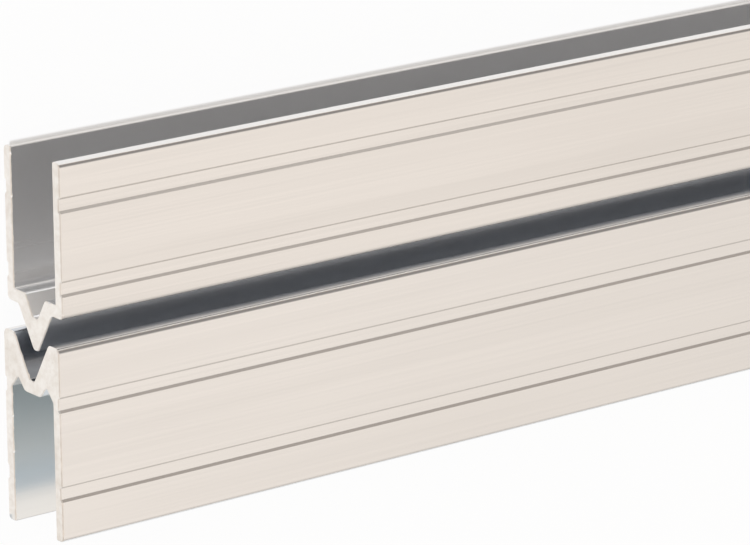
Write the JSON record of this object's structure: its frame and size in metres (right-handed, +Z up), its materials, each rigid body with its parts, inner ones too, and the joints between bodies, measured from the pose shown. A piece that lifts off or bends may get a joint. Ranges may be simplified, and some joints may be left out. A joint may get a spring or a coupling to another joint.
{
  "type": "two-part aluminium closing profile",
  "caption": "Extruded aluminium closing profile: a tongue half and a groove half with interlocking V edges, each with a slot that takes the edge of a panel.",
  "frame": {"origin": "middle of the length and of the width across both halves, on the plane that the broad faces lie on", "axes": "+X along the length, +Y from the groove half towards the tongue half, +Z up from the broad faces that the halves lie on"},
  "size_m": [1, 0.04, 0.0096],
  "materials": {
    "mill_aluminium": "mill finish with fine die lines along the length, and sawn ends"
  },
  "bodies": {
    "root": {"tongue_profile": "mill_aluminium", "groove_profile": "mill_aluminium"}
  },
  "joints": []
}
